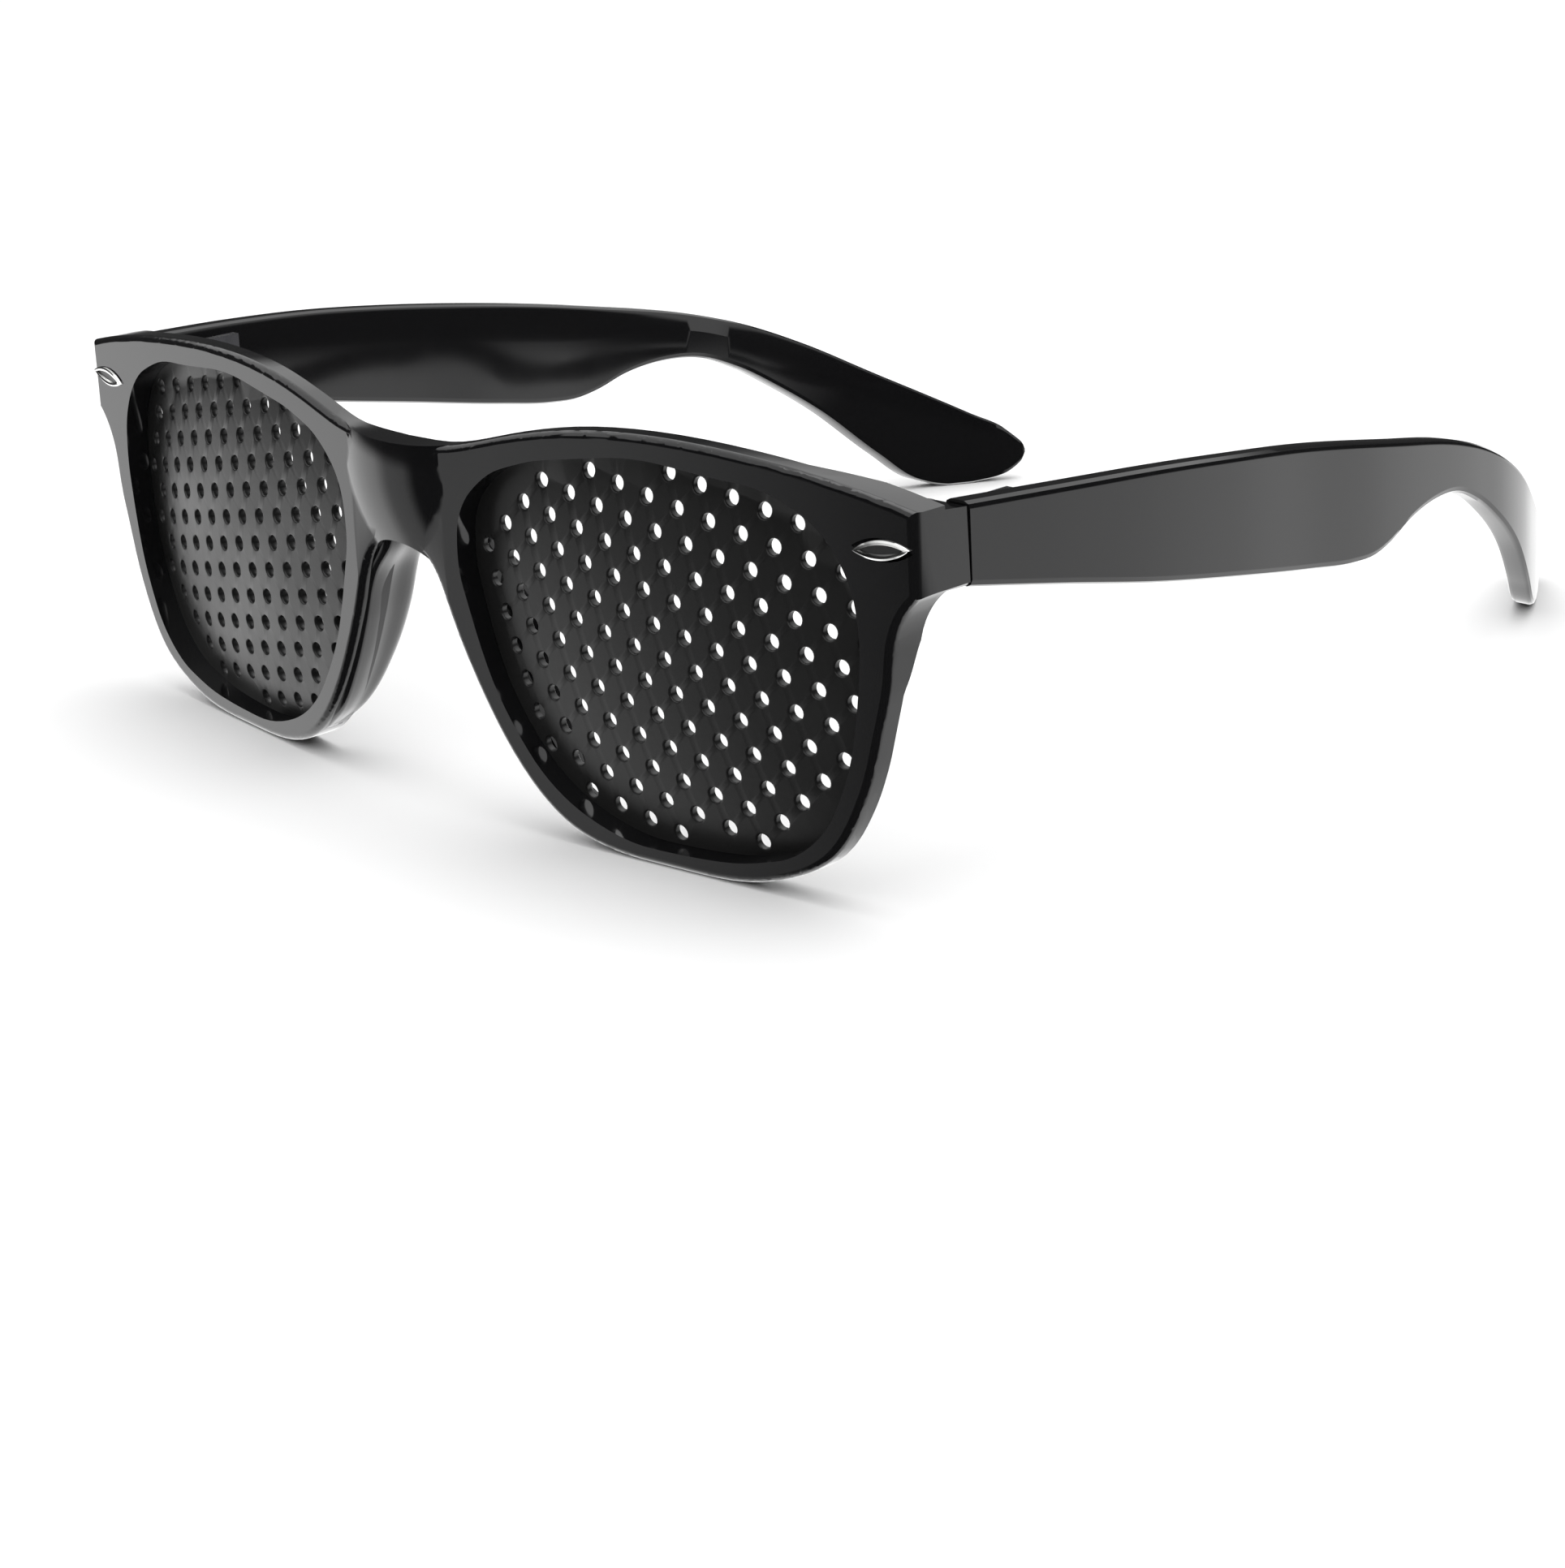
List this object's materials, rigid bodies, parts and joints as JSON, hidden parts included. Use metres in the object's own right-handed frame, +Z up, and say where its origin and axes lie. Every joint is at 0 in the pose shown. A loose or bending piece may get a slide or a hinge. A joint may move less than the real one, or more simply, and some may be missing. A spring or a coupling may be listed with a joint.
{
  "type": "pinhole glasses",
  "caption": "Squared black glasses with perforated plates in place of lenses, moulded nose pads and folding temples on screwed hinges.",
  "frame": {"origin": "on the table the glasses stand on, in the mirror plane, halfway between the bridge's foremost point and the temple tips", "axes": "+X towards the wearer's left, +Y from the front towards the ears, +Z up from the table"},
  "size_m": [0.1448, 0.1474, 0.0456],
  "materials": {
    "frame_plastic": "gloss black",
    "plate_plastic": "satin black",
    "temple_plastic": "satin gloss black",
    "rivet_metal": "bright",
    "hinge_metal": "dark burnished",
    "screw_metal": "bright steel"
  },
  "bodies": {
    "front": {"front_frame": "frame_plastic", "pinhole_plate_left": "plate_plastic", "pinhole_plate_right": "plate_plastic", "rivet_left": "rivet_metal", "rivet_right": "rivet_metal", "front_hinge_left": "hinge_metal", "front_hinge_right": "hinge_metal", "hinge_screw_left": "screw_metal", "hinge_screw_right": "screw_metal"},
    "left_arm": {"temple_left": "temple_plastic", "temple_hinge_left": "hinge_metal"},
    "right_arm": {"temple_right": "temple_plastic", "temple_hinge_right": "hinge_metal"}
  },
  "joints": [
    {"name": "left_temple_fold", "type": "hinge", "parent": "front", "child": "left_arm", "pos_m": [0.06445, -0.0573, 0.0373], "axis": [0, 0, 1], "range_deg": [0, 81]},
    {"name": "right_temple_fold", "type": "hinge", "parent": "front", "child": "right_arm", "pos_m": [-0.06445, -0.0573, 0.0373], "axis": [0, 0, -1], "range_deg": [0, 72]}
  ]
}
